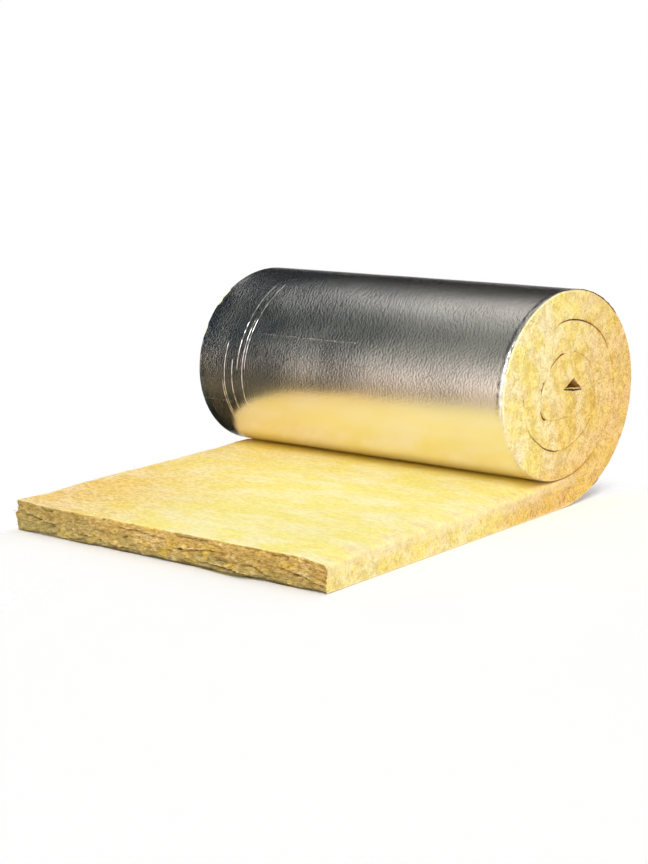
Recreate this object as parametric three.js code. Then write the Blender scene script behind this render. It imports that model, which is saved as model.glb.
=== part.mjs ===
// A foil-faced glass wool blanket, wound into a roll with its outer end drawn out flat on the floor.
// Millimetres. X runs along the roll's axis, the laid-out tail points to -Y, and +Z is up.
// The origin is under the middle of the whole outline, on the floor.
import * as THREE from 'three';

// ---- Driving dimensions -------------------------------------------------------------------------

const blanketWidth = 1200;      // sawn edge to sawn edge, which is also the length of the roll
const looseThickness = 103;     // wool of the tail, before it settles
const woundThickness = 98;      // wool within the roll, pressed a little by the winding
const facingThickness = 0.4;    // aluminium foil laminate
const bondGap = 0.3;            // clearance between the laminate and the wool that it is bonded to
const seamGap = 2;              // clearance between one turn's wool and the foil of the turn inside it
const tailLength = 1105;        // from the line where the roll leaves the floor to the torn front edge

const turnCount = 3.165;        // turns from the floor line to the inner end of the blanket
const coreRadius = 66;          // radius of the foil face at the inner end
const coreHoleWidth = 98;       // pinched hole left in the middle
const coreHoleHeight = 30;
const coreHoleDrop = 16;        // how far the hole's floor falls over its width

const sagHeightRatio = 0.92;    // heights after the soft roll has settled, as a share of a round one
const sagWidthRatio = 1.06;     // and its widths
const sagLeanRatio = 0.03;      // sideways shift for each millimetre of height

const sawnEdgeRound = 4;        // rounding of the wool along both sawn edges
const tornEdgeRadius = 16;      // rounding of the top of the torn front edge
const tornEdgeBulge = 6;        // how far the torn face swells out at mid-height
const facingSetback = 3;        // the foil stops this far behind the torn edge

const stepsPerTurn = 72;
const tailBlendSteps = 10;      // steps where the tail's thickness changes to that of the wound turns
const roundingSteps = 5;

// ---- Sizes that follow --------------------------------------------------------------------------

const woolFace = facingThickness + bondGap;
const turnPitch = woolFace + woundThickness + seamGap;
const unwindRadius = turnPitch / (2 * Math.PI);
const endAngle = turnCount * 2 * Math.PI;
const firstRadius = coreRadius + unwindRadius * endAngle;

// ---- The wound shape ----------------------------------------------------------------------------

// The face of a blanket that is wound up is the involute of a small circle whose circumference is
// one turn's pitch: it leaves the floor line without a kink, and every turn lies parallel to the
// next. The angle is 0 on the floor and grows up the back, over the top and down the front.
// The depth is measured from the foil's outer side into the wool.
function woundPoint(angle, depth) {
  const reach = firstRadius - unwindRadius * angle - depth;
  return new THREE.Vector2(
    unwindRadius * (1 - Math.cos(angle)) + reach * Math.sin(angle),
    firstRadius - unwindRadius * Math.sin(angle) - reach * Math.cos(angle),
  );
}

// A soft roll sags to an oval under its own weight.
function settle(point) {
  return new THREE.Vector2(
    point.x * sagWidthRatio + point.y * sagLeanRatio,
    point.y * sagHeightRatio,
  );
}

function woundLine(fromAngle, toAngle, depth) {
  const steps = Math.ceil(((toAngle - fromAngle) / (2 * Math.PI)) * stepsPerTurn);
  const points = [];
  for (let i = 0; i <= steps; i += 1) {
    points.push(woundPoint(fromAngle + ((toAngle - fromAngle) * i) / steps, depth));
  }
  return points;
}

// ---- The laid-out tail --------------------------------------------------------------------------

function tailTopLine() {
  const blendLength = 1.5 * turnPitch;
  const points = [];
  for (let i = 0; i < tailBlendSteps; i += 1) {
    const share = i / tailBlendSteps;
    const thickness = THREE.MathUtils.lerp(
      looseThickness, woundThickness, THREE.MathUtils.smoothstep(share, 0, 1));
    points.push(new THREE.Vector2((share - 1) * blendLength, woolFace + thickness));
  }
  return points;
}

// The torn front face, from the floor up: it swells a little and rounds over to the top.
function tornFrontLine() {
  const front = -tailLength / sagWidthRatio;
  const top = woolFace + looseThickness;
  const points = [];
  for (let i = 0; i <= roundingSteps; i += 1) {
    const share = i / roundingSteps;
    const swell = tornEdgeBulge * Math.sin(share * Math.PI);
    points.push(new THREE.Vector2(front - swell, woolFace + share * (looseThickness - tornEdgeRadius)));
  }
  for (let i = 1; i <= roundingSteps; i += 1) {
    const turn = (i / roundingSteps) * Math.PI / 2;
    points.push(new THREE.Vector2(
      front + tornEdgeRadius * (1 - Math.cos(turn)),
      top - tornEdgeRadius * (1 - Math.sin(turn)),
    ));
  }
  return points;
}

// ---- The pinched core ---------------------------------------------------------------------------

// The wool can't be bent tighter than its own thickness, so the last turn closes to a flat
// three-cornered hole over the inner end of the blanket, which is crushed to a wedge.
function coreOutline() {
  const woolDepth = woolFace + woundThickness;
  const pinchAngle = endAngle - 0.8 * Math.PI;
  const pinch = woundPoint(pinchAngle, woolDepth);
  const wedgeTip = pinch.clone().add(new THREE.Vector2(coreHoleWidth / sagWidthRatio, -coreHoleDrop));
  const wallCorner = wedgeTip.clone().add(new THREE.Vector2(seamGap, seamGap));
  const peak = pinch.clone().add(new THREE.Vector2(0.55 * coreHoleWidth / sagWidthRatio, coreHoleHeight));
  return { woolDepth, pinch, wedgeTip, wallCorner, peak };
}

// ---- Outlines of the two pieces -----------------------------------------------------------------

function outlineShape(points) {
  return new THREE.Shape(points.map(settle));
}

function woolOutline() {
  const core = coreOutline();
  const lastFacingAngle = endAngle - 2 * Math.PI;
  return outlineShape([
    ...woundLine(0, endAngle, woolFace),
    core.wedgeTip,
    core.pinch,
    core.peak,
    core.wallCorner,
    ...woundLine(0, lastFacingAngle, core.woolDepth).reverse(),
    ...tailTopLine().reverse(),
    ...tornFrontLine().reverse(),
  ]);
}

function facingOutline() {
  const front = facingSetback - tailLength / sagWidthRatio;
  return outlineShape([
    new THREE.Vector2(front, 0),
    ...woundLine(0, endAngle, 0),
    ...woundLine(0, endAngle, facingThickness).reverse(),
    new THREE.Vector2(front, facingThickness),
  ]);
}

// ---- Pieces -------------------------------------------------------------------------------------

const wool = new THREE.MeshStandardMaterial({ color: 0xe8cf7a, roughness: 0.95, metalness: 0 });
const foil = new THREE.MeshStandardMaterial({ color: 0xb4b6ba, roughness: 0.25, metalness: 1 });

function woolBlanket() {
  const geometry = new THREE.ExtrudeGeometry(woolOutline(), {
    depth: blanketWidth - 2 * sawnEdgeRound,
    bevelThickness: sawnEdgeRound,
    bevelSize: sawnEdgeRound,
    bevelOffset: -sawnEdgeRound,
    bevelSegments: 2,
  });
  geometry.translate(0, 0, sawnEdgeRound - blanketWidth / 2);
  const mesh = new THREE.Mesh(geometry, wool);
  mesh.name = 'wool_blanket';
  return mesh;
}

function foilFacing() {
  const geometry = new THREE.ExtrudeGeometry(facingOutline(), { depth: blanketWidth, bevelEnabled: false });
  geometry.translate(0, 0, -blanketWidth / 2);
  const mesh = new THREE.Mesh(geometry, foil);
  mesh.name = 'foil_facing';
  return mesh;
}

// The outlines are drawn in a plane and pushed out of it, so the drawing plane is stood up: its
// width becomes Y, its height Z, and the direction of the push X.
const roll = new THREE.Group();
roll.add(woolBlanket(), foilFacing());
roll.quaternion.setFromRotationMatrix(new THREE.Matrix4().makeBasis(
  new THREE.Vector3(0, 1, 0), new THREE.Vector3(0, 0, 1), new THREE.Vector3(1, 0, 0)));

// The origin moves to the middle of the outline, on the floor.
const outline = new THREE.Box3().setFromObject(roll, true);
roll.position.y = -(outline.min.y + outline.max.y) / 2;

export default roll;
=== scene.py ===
# %% [markdown]
# # A foil-faced glass wool roll, partly unrolled
#
# The real thing is one long blanket of glass wool with aluminium foil bonded to one side. It is
# wound into a roll, and its outer end has been drawn out flat on the floor. The fixed frame gives
# the real sizes. The cells below make the wool and the foil around it, then light them and place
# the camera. Everything is in metres, with Z up. X runs along the roll, its near end is at +X, and
# the laid-out tail points to -Y.

# %% Load the frame
import math

import bmesh
import bpy
from mathutils import Matrix, Vector


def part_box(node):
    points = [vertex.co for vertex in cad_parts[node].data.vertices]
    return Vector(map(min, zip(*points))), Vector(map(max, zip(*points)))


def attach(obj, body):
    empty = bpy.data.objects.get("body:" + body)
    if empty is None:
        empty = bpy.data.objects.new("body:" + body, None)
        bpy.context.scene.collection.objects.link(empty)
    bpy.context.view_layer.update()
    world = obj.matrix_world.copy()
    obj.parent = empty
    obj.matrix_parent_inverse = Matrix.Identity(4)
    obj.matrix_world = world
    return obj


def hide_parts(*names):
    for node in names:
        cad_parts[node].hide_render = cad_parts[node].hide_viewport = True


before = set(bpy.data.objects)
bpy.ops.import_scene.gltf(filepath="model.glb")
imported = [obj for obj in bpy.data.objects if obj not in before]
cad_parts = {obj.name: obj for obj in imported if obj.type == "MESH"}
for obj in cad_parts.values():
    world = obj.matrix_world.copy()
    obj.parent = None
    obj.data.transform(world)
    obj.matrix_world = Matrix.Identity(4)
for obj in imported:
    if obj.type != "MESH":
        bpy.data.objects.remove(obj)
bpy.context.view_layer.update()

print("the frame holds", sorted(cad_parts))

# %% [markdown]
# ## The sizes that shape the roll
#
# A blanket of even thickness that is wound up follows a simple rule. Each turn lies parallel to
# the one inside it, one pitch away, so its face is the involute of a circle whose circumference is
# that pitch. A spiral curve could be drawn by hand instead, but a rule keeps the turns evenly apart
# and needs only a few sizes: how thick the wool and the foil are, how many turns there are and how
# wide the core is. The width and the place on the floor come from the frame.

# %% Sizes
MM = 0.001
LOOSE_WOOL = 103 * MM
WOUND_WOOL = 98 * MM
FOIL = 0.4 * MM
BOND_GAP = 0.3 * MM
SEAM_GAP = 2 * MM
TURNS = 3.165
CORE_RADIUS = 66 * MM
SAG_HEIGHT = 0.92
SAG_WIDTH = 1.06
SAG_LEAN = 0.03
TAIL_LENGTH = 1105 * MM
FOIL_SETBACK = 3 * MM

HALF_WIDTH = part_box("wool_blanket")[1].x
FLOOR_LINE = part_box("foil_facing")[0].y + TAIL_LENGTH - FOIL_SETBACK * SAG_WIDTH
WOOL_FACE = FOIL + BOND_GAP
WOOL_BACK = WOOL_FACE + WOUND_WOOL
PITCH = WOOL_BACK + SEAM_GAP
FLAT_TAIL = TAIL_LENGTH / SAG_WIDTH
print(f"one turn to the next: {PITCH:.4f} m, floor line at y = {FLOOR_LINE:.3f} m")

# %% The winding rule
FULL_TURN = 2 * math.pi
UNWIND = PITCH / FULL_TURN
END_ANGLE = TURNS * FULL_TURN
FIRST_RADIUS = CORE_RADIUS + UNWIND * END_ANGLE


def wound_point(angle, depth):
    """Where a point of the blanket lies before the roll sags: y and z from its floor line."""
    reach = FIRST_RADIUS - UNWIND * angle - depth
    return Vector((UNWIND * (1 - math.cos(angle)) + reach * math.sin(angle),
                   FIRST_RADIUS - UNWIND * math.sin(angle) - reach * math.cos(angle)))


def length_at(angle):
    """How much blanket is wound up by that angle."""
    return FIRST_RADIUS * angle - UNWIND * angle * angle / 2


def angle_at(length):
    """The angle at which that much blanket is wound up."""
    return (FIRST_RADIUS - math.sqrt(FIRST_RADIUS ** 2 - 2 * UNWIND * length)) / UNWIND


def turns_at(length):
    return angle_at(length) / FULL_TURN


OUTER_TURN = length_at(FULL_TURN)
WOUND_LENGTH = length_at(END_ANGLE)
print(f"blanket {FLAT_TAIL + WOUND_LENGTH:.2f} m long, outer turn {OUTER_TURN:.2f} m")

# %% [markdown]
# ## The pinched core
#
# Wool can't be bent tighter than its own thickness. So the last turn closes to a flat
# three-cornered hole over the inner end of the blanket, and that end is crushed to a wedge. The
# four corners below are the same ones that the frame has. A cut-out could give the same hole, but
# then the wool round it would stop dead. Where the hole takes room, the wool is thinner instead,
# and a line from the foil face through the wool finds how much is left.

# %% Core corners
HOLE_WIDTH = 98 * MM
HOLE_HEIGHT = 30 * MM
HOLE_DROP = 16 * MM
PEAK_SHARE = 0.55
PINCH_ANGLE = END_ANGLE - 0.8 * math.pi
LAST_FULL_ANGLE = END_ANGLE - FULL_TURN
PINCH_LENGTH = length_at(PINCH_ANGLE)

PINCH = wound_point(PINCH_ANGLE, WOOL_BACK)
WEDGE_TIP = PINCH + Vector((HOLE_WIDTH / SAG_WIDTH, -HOLE_DROP))
WALL_CORNER = WEDGE_TIP + Vector((SEAM_GAP, SEAM_GAP))
HOLE_PEAK = PINCH + Vector((PEAK_SHARE * HOLE_WIDTH / SAG_WIDTH, HOLE_HEIGHT))
HOLE_OUTLINE = [wound_point(LAST_FULL_ANGLE, WOOL_BACK), WALL_CORNER, HOLE_PEAK, PINCH]
print("corners of the hole:", [(round(corner.x, 3), round(corner.y, 3)) for corner in HOLE_OUTLINE])

# %% Wool thickness
SQUEEZE_LENGTH = 1.5 * PITCH
THICKEST_WOOL = 1.3 * WOUND_WOOL
PARALLEL = 1e-9
TOUCHING = 1e-6


def smooth(share):
    """A share from 0 to 1 that starts and stops gently."""
    share = min(1.0, max(0.0, share))
    return share * share * (3 - 2 * share)


def crossing(start, direction, a, b):
    """How far along the line from start the stretch a to b is crossed, or None."""
    side = b - a
    spread = direction.x * side.y - direction.y * side.x
    if abs(spread) < PARALLEL:
        return None
    gap = a - start
    along_line = (gap.x * side.y - gap.y * side.x) / spread
    along_side = (gap.x * direction.y - gap.y * direction.x) / spread
    return along_line if -TOUCHING <= along_side <= 1 + TOUCHING and along_line > 0 else None


def wool_thickness(along):
    """The wool's thickness at a place along the flat blanket."""
    if along < 0:
        return LOOSE_WOOL + (WOUND_WOOL - LOOSE_WOOL) * smooth(1 + along / SQUEEZE_LENGTH)
    angle = angle_at(along)
    if not LAST_FULL_ANGLE < angle < PINCH_ANGLE:
        return WOUND_WOOL
    inward = Vector((-math.sin(angle), math.cos(angle)))
    hits = [crossing(wound_point(angle, WOOL_FACE), inward, a, b)
            for a, b in zip(HOLE_OUTLINE, HOLE_OUTLINE[1:])]
    return min([hit for hit in hits if hit] + [THICKEST_WOOL])


print("wool over the hole:", round(wool_thickness(length_at(4.75 * math.pi)), 4), "m")

# %% [markdown]
# ## Writing node trees as sums
#
# Geometry and material trees are both made of nodes. In the editor they are wired by hand. In a
# script, every Math node would be a long call, so an output is wrapped in a small class here. Then
# `a * b` makes a Multiply node and `a - b` a Subtract node, and a tree reads like a sum.


# %% Values that are outputs of nodes
class Value:
    """What one output of a node gives. A sum with it makes a Math node."""

    def __init__(self, socket):
        self.socket = socket
        self.tree = socket.id_data

    def __getitem__(self, name):
        """Another output of the same node."""
        return Value(self.socket.node.outputs[name])

    def __add__(self, other):
        return calc("ADD", self, other)

    def __sub__(self, other):
        return calc("SUBTRACT", self, other)

    def __rsub__(self, other):
        return calc("SUBTRACT", other, self)

    def __mul__(self, other):
        return calc("MULTIPLY", self, other)

    def __truediv__(self, other):
        return calc("DIVIDE", self, other)

    def __abs__(self):
        return calc("ABSOLUTE", self)


def feed(socket, value):
    """Sets an input to a number or a colour, or links it to a node's output."""
    if isinstance(value, Value):
        value.tree.links.new(value.socket, socket)
    else:
        socket.default_value = value


def node(tree, kind, inputs=None, **settings):
    """The first output of a new node, whose inputs are given by name or number."""
    made = tree.nodes.new(kind)
    for name, value in settings.items():
        setattr(made, name, value)
    for key, value in (inputs or {}).items():
        feed(made.inputs[key], value)
    return Value(made.outputs[0])


trial = bpy.data.node_groups.new("trial", "GeometryNodeTree")
trial_number = node(trial, "GeometryNodeInputIndex")
print("a value stands for an output, such as", trial_number.socket.name)


# %% Helpers for numbers
def made_from(kind, values, **settings):
    """A node that takes the values in order, in the tree of the first one that has a tree."""
    tree = next(value.tree for value in values if isinstance(value, Value))
    return node(tree, kind, dict(enumerate(values)), **settings)


def calc(operation, *values):
    return made_from("ShaderNodeMath", values, operation=operation)


def times_plus(value, factor, rest):
    """value * factor + rest in one node."""
    return calc("MULTIPLY_ADD", value, factor, rest)


def highest(first, second):
    return calc("MAXIMUM", first, second)


def between(share, low, high):
    """low where share is 0 and high where it is 1."""
    return times_plus(high - low, share, low)


def ramp(value, low, high, to_low=0.0, to_high=1.0, shape="SMOOTHSTEP"):
    """A value brought from one range to another, clamped at both ends."""
    return made_from("ShaderNodeMapRange", (value, low, high, to_low, to_high), interpolation_type=shape)


def around(value, middle, near, far, to_near=1.0, to_far=0.0):
    """to_near within a distance near of the middle, to_far from a distance far on."""
    return ramp(abs(value - middle), near, far, to_near, to_far)


around(trial_number * 2.0, 5.0, 0.1, 0.2)
print("a mask around a number takes", len(trial.nodes) - 1, "nodes")


# %% Helpers for places
def vector(x, y, z):
    return made_from("ShaderNodeCombineXYZ", (x, y, z))


def parts(place):
    """The three axes of a place."""
    split = made_from("ShaderNodeSeparateXYZ", (place,))
    return split[0], split[1], split[2]


def vector_calc(operation, *values):
    return made_from("ShaderNodeVectorMath", values, operation=operation)


def stretched(place, factors):
    """A place with each axis multiplied, so that a pattern read there is drawn out."""
    return vector_calc("MULTIPLY", place, factors)


def noise(place, scale, detail=2.0, roughness=0.5):
    """A noise value around 0.5 at a place."""
    return node(place.tree, "ShaderNodeTexNoise",
                {"Vector": place, "Scale": scale, "Detail": detail, "Roughness": roughness})


trial_place = node(trial, "GeometryNodeInputPosition")
print("a place has", len(parts(trial_place)), "axes, each a value again")
bpy.data.node_groups.remove(trial)

# %% [markdown]
# ## A flat blanket first
#
# It is much easier to shape a blanket while it lies flat: x runs across it, y along it, and z goes
# from 0 on the foil side to 1 on the bare side. Both pieces are closed slabs with small faces
# where something shows and large ones where nothing does. A grid with Subdivision Surface would
# spend its faces evenly, on the hidden turns too. Where a fine row of points meets a coarse one,
# the two are zipped together with triangles. Each point also remembers its flat place in an
# attribute, and the finishes read it so that their fibres and creases follow the turns.


# %% Rows of points
def steps(start, stop, size):
    """Evenly spread positions from start to stop, about size apart, both ends included."""
    count = max(1, round(abs(stop - start) / size))
    return [start + (stop - start) * i / count for i in range(count + 1)]


def mirrored(positions):
    """The positions on both sides of the middle."""
    return sorted({round(sign * x, 6) for x in positions for sign in (-1, 1)})


def zipped(a, b, place_a, place_b):
    """Faces between two rows of points: four-sided where they face each other, else triangles."""
    if place_a == place_b:
        return [(a[i], a[i + 1], b[i + 1], b[i]) for i in range(len(a) - 1)]
    faces, i, j = [], 0, 0
    while i < len(a) - 1 or j < len(b) - 1:
        if j == len(b) - 1 or (i < len(a) - 1 and place_a[i + 1] <= place_b[j + 1]):
            faces.append((a[i], a[i + 1], b[j]))
            i += 1
        else:
            faces.append((a[i], b[j + 1], b[j]))
            j += 1
    return faces


print("a row of three zipped to a row of two:", zipped([0, 1, 2], [3, 4], [0, 1, 2], [0, 2]))


# %% Flat slabs
def slab_faces(rows, bare_columns, foil_columns, levels):
    """The points and faces of a closed slab. For each row, the columns on its two sides and the
    levels through its thickness are given."""
    points, numbers, faces = [], {}, []

    def point(x, row, level):
        key = (round(x, 6), row, level)
        if key not in numbers:
            numbers[key] = len(points)
            points.append((x, rows[row], level))
        return numbers[key]

    def across(columns, row, level):
        return [point(x, row, level) for x in columns]

    def through(x, row):
        return [point(x, row, level) for level in levels[row]]

    for row in range(len(rows) - 1):
        for columns, level in ((bare_columns, 1), (foil_columns, 0)):
            here, there = columns[row], columns[row + 1]
            faces += zipped(across(here, row, level), across(there, row + 1, level), here, there)
        for side in (-HALF_WIDTH, HALF_WIDTH):
            faces += zipped(through(side, row), through(side, row + 1), levels[row], levels[row + 1])
    for row in (0, len(rows) - 1):
        layers = [foil_columns[row]] + [bare_columns[row]] * (len(levels[row]) - 1)
        for low, high, here, there in zip(levels[row], levels[row][1:], layers, layers[1:]):
            faces += zipped(across(here, row, low), across(there, row, high), here, there)
    return points, faces


def flat_slab(name, rows, bare_columns, foil_columns, levels, thickness, shape):
    """A slab as a piece. thickness(along) is stored on each point as its loft, and shape moves a
    point a little."""
    points, faces = slab_faces(rows, bare_columns, foil_columns, levels)
    lofts = [thickness(along) for _, along, _ in points]
    flat_places = []
    for (x, along, level), loft in zip(points, lofts):
        flat_places += (x, along, level * loft)
    mesh = bpy.data.meshes.new(name)
    mesh.from_pydata([shape(*point, loft) for point, loft in zip(points, lofts)], [], faces)
    mesh.attributes.new("flat", "FLOAT_VECTOR", "POINT").data.foreach_set("vector", flat_places)
    mesh.attributes.new("loft", "FLOAT", "POINT").data.foreach_set("value", lofts)
    outward = bmesh.new()
    outward.from_mesh(mesh)
    bmesh.ops.recalc_face_normals(outward, faces=outward.faces)
    outward.to_mesh(mesh)
    outward.free()
    piece = bpy.data.objects.new(name, mesh)
    bpy.context.scene.collection.objects.link(piece)
    print(name, "lies flat, with", len(mesh.vertices), "points")
    return piece


# %% [markdown]
# ## Winding it up with nodes
#
# A small Geometry Nodes tree rolls a flat slab up. For each point it works out the angle that the
# length wound so far has reached, finds the foil-side point and the bare-side point of the
# blanket there, and mixes the two by the point's level. Past the pinch the bare side lies on the
# floor of the core hole instead. A Simple Deform modifier bends too, but only to a circle. The
# same tree winds the wool and the foil, so they always fit each other.


# %% Beginning and ending a tree
def new_tree(name, sizes):
    """A tree with an input for each size and one for the finish. It comes with its inputs."""
    tree = bpy.data.node_groups.new(name, "GeometryNodeTree")
    tree.interface.new_socket("Geometry", in_out="INPUT", socket_type="NodeSocketGeometry")
    for size in sizes:
        tree.interface.new_socket(size, in_out="INPUT", socket_type="NodeSocketFloat")
    tree.interface.new_socket("Finish", in_out="INPUT", socket_type="NodeSocketMaterial")
    tree.interface.new_socket("Geometry", in_out="OUTPUT", socket_type="NodeSocketGeometry")
    return tree, Value(tree.nodes.new("NodeGroupInput").outputs[0])


def stored(tree, name, kind="FLOAT"):
    """What the points remember under that name."""
    return node(tree, "GeometryNodeInputNamedAttribute", {"Name": name}, data_type=kind)


def moved(geometry, x, y, z):
    """The geometry with its points at new places."""
    return node(geometry.tree, "GeometryNodeSetPosition", {
        "Geometry": geometry, "Position": vector(x, y, z)})


def end_tree(size, geometry):
    """Ends a tree with plain geometry and its finish."""
    plain = made_from("GeometryNodeRealizeInstances", (geometry,))
    done = node(size.tree, "GeometryNodeSetMaterial", {"Geometry": plain, "Material": size["Finish"]})
    feed(size.tree.nodes.new("NodeGroupOutput").inputs[0], done)
    print(size.tree.name, "has", len(size.tree.nodes), "nodes")


# %% The angle and the place on a turn
def wound_angle(size, length):
    """angle_at as nodes."""
    square = size["First Radius"] * size["First Radius"]
    used = size["Unwind"] * 2.0 * length
    return (size["First Radius"] - calc("SQRT", square - used)) / size["Unwind"]


def wound_place(size, angle, depth):
    """wound_point as nodes: y and z."""
    reach = size["First Radius"] - size["Unwind"] * angle - depth
    sine, cosine = calc("SINE", angle), calc("COSINE", angle)
    y = times_plus(reach, sine, size["Unwind"] * (1.0 - cosine))
    z = size["First Radius"] - times_plus(reach, cosine, size["Unwind"] * sine)
    return y, z


one_turn_in = wound_point(FULL_TURN, 0)
print(f"one turn in, the foil lies {one_turn_in.y:.3f} m above the floor line")

# %% [markdown]
# A real roll isn't as neat as the rule. The torn end curls off the floor here and there. The inner
# turns wander a little and one of them bulges, while the outer turn, which carries the rest, stays
# put. Low noise does this better than moving points by hand, because both pieces read the same
# noise and so move together.

# %% Loosening the turns
BULGE_Y = -0.81
BULGE_Z = -0.59
LOW_DEPTH = 0.06


def front_curl(size, x, length, depth):
    """How far the torn end's underside lifts off the floor."""
    behind_front = (length - size["Front"]) / size["Curl Length"]
    wave = noise(vector(x, 0.0, 0.0), 5.0, 1.0)
    curl = ramp(wave, 0.35, 0.75) * ramp(behind_front, 0.0, 1.0, 1.0, 0.0)
    return curl * ramp(depth, 0.0, LOW_DEPTH, 1.0, 0.0) * size["Curl Height"]


def loosened(size, x, y, z, turns_in):
    """y and z with the inner turns wandering, and bulging toward the near end."""
    loose = ramp(turns_in, 1.0, 2.0) * ramp(turns_in, 3.0, 3.4, 1.0, 0.3)
    drift = noise(vector(x * 0.3, y, z), 7.0, 1.0)["Color"]
    _, drift_y, drift_z = parts(vector_calc("SUBTRACT", drift, (0.5, 0.5, 0.5)))
    wobble = loose * size["Wobble"]
    away = vector_calc("LENGTH", vector(0.0, y - size["Bulge Y"], z - size["Bulge Z"]))["Value"]
    bulge = ramp(away, 0.0, size["Bulge Reach"], 1.0, 0.0) * loose
    bulge = bulge * ramp(x, 0.2, 0.5) * size["Bulge"]
    return (times_plus(drift_y, wobble, times_plus(bulge, BULGE_Y, y)),
            times_plus(drift_z, wobble, times_plus(bulge, BULGE_Z, z)))


bulge_slope = math.degrees(math.atan2(-BULGE_Z, -BULGE_Y))
print("the bulge points forward and", round(bulge_slope), "degrees down")

# %% The winding tree
WIND_SIZES = ("Unwind", "First Radius", "Face Depth", "Pinch Angle", "End Angle",
              "Pinch Y", "Pinch Z", "Tip Y", "Tip Z",
              "Sag Height", "Sag Width", "Sag Lean", "Floor Line",
              "Front", "Curl Height", "Curl Length",
              "Pitch", "Wobble", "Bulge", "Bulge Y", "Bulge Z", "Bulge Reach")


def build_winding():
    """Rolls a flat slab up, lets the roll sag and lean, and sets it on its floor line."""
    tree, size = new_tree("wind_the_blanket", WIND_SIZES)
    x, length, level = parts(node(tree, "GeometryNodeInputPosition"))
    laid = calc("MINIMUM", length, 0.0)
    angle = wound_angle(size, highest(length, 0.0))
    full_depth = size["Face Depth"] + stored(tree, "loft")
    foil_y, foil_z = wound_place(size, angle, size["Face Depth"])
    bare_y, bare_z = wound_place(size, angle, full_depth)

    past = calc("GREATER_THAN", angle, size["Pinch Angle"])
    share = (angle - size["Pinch Angle"]) / (size["End Angle"] - size["Pinch Angle"])
    bare_y = between(past, bare_y, between(share, size["Pinch Y"], size["Tip Y"]))
    bare_z = between(past, bare_z, between(share, size["Pinch Z"], size["Tip Z"]))

    depth = between(level, size["Face Depth"], full_depth)
    y = between(level, foil_y, bare_y) + laid
    z = between(level, foil_z, bare_z) + front_curl(size, x, length, depth)
    y, z = loosened(size, x, y, z, angle / FULL_TURN + depth / size["Pitch"])
    sagged_y = y * size["Sag Width"] + times_plus(z, size["Sag Lean"], size["Floor Line"])
    end_tree(size, moved(size["Geometry"], x, sagged_y, z * size["Sag Height"]))
    return tree


WINDING = build_winding()

# %% Putting a tree on a piece
BULGE_PLACE = wound_point(3.7 * math.pi, PITCH)
WIND_VALUES = {
    "Unwind": UNWIND, "First Radius": FIRST_RADIUS, "End Angle": END_ANGLE, "Pitch": PITCH,
    "Pinch Y": PINCH.x, "Pinch Z": PINCH.y, "Tip Y": WEDGE_TIP.x, "Tip Z": WEDGE_TIP.y,
    "Sag Height": SAG_HEIGHT, "Sag Width": SAG_WIDTH, "Sag Lean": SAG_LEAN, "Floor Line": FLOOR_LINE,
    "Front": -FLAT_TAIL, "Curl Height": 5 * MM, "Curl Length": 110 * MM, "Wobble": 24 * MM,
    "Bulge": 26 * MM, "Bulge Y": BULGE_PLACE.x, "Bulge Z": BULGE_PLACE.y, "Bulge Reach": 110 * MM}


def add_tree(piece, tree, values):
    """Puts a tree on a piece, with its inputs set by their names."""
    modifier = piece.modifiers.new(tree.name, "NODES")
    modifier.node_group = tree
    for item in tree.interface.items_tree:
        if item.item_type == "SOCKET" and item.in_out == "INPUT" and item.name in values:
            modifier[item.identifier] = values[item.name]


def wind(piece, face_depth, pinch_angle, finish):
    values = {"Face Depth": face_depth, "Pinch Angle": pinch_angle, "Finish": finish}
    add_tree(piece, WINDING, WIND_VALUES | values)


print("the winding tree gets", len(WIND_VALUES) + 3, "values")

# %% Settling a piece
SHARP_ANGLE = 60


def settle_mesh(piece):
    """Replaces a piece's modifiers by the mesh that they make."""
    bpy.context.view_layer.update()
    evaluated = piece.evaluated_get(bpy.context.evaluated_depsgraph_get())
    mesh = bpy.data.meshes.new_from_object(evaluated)
    piece.modifiers.clear()
    piece.data = mesh
    mesh.shade_smooth()
    mesh.set_sharp_from_angle(angle=math.radians(SHARP_ANGLE))
    print(piece.name, "has", sum(len(face.vertices) - 2 for face in mesh.polygons), "triangles")


# %% [markdown]
# ## Finish: glass wool
#
# Glass wool is matt and cloudy, and it has three faces. The bare top is lemon and cream, in streaks
# that run across the blanket the way the fibres were laid. The saw leaves the sides speckled and
# more peach. Where the blanket was torn, the wool is ochre and darker: partly the wool inside, and
# partly painted shade. An image could be wrapped round it, but it would stretch and repeat. Noise
# doesn't, at any size. Each face gets a colour of its own below, and masks then tell the faces apart.


# %% Finish helpers
def new_material(name):
    material = bpy.data.materials.new(name)
    material.use_nodes = True
    return material, material.node_tree, material.node_tree.nodes["Principled BSDF"].inputs


def painted(tree, name, output="Fac"):
    """What the mesh remembers under that name, for a finish."""
    return node(tree, "ShaderNodeAttribute", attribute_name=name)[output]


def screen(red, green, blue):
    """A colour by its screen values from 0 to 255."""
    return tuple((((value / 255) + 0.055) / 1.055) ** 2.4 for value in (red, green, blue)) + (1,)


def mixed(share, low, high):
    """One colour where share is 0 and another where it is 1."""
    tree = next(value.tree for value in (share, low, high) if isinstance(value, Value))
    return node(tree, "ShaderNodeMix", {0: share, 6: low, 7: high}, data_type="RGBA")[2]


def dimmed(colour, drop):
    """A colour taken down by a share, its blue most of all, as shade does in yellow wool."""
    kept = vector_calc("MULTIPLY_ADD", drop, (-1.0, -1.22, -2.1), (1.0, 1.0, 1.0))
    return vector_calc("MULTIPLY", colour, kept)


def ridges(place, scale, width):
    """Thin winding lines: 1 on the lines where a noise passes its middle value, 0 away from them."""
    return around(noise(place, scale, 3.0, 0.6), 0.5, 0.0, width)


print("a mid grey is written as", round(screen(128, 128, 128)[0], 3))
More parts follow.
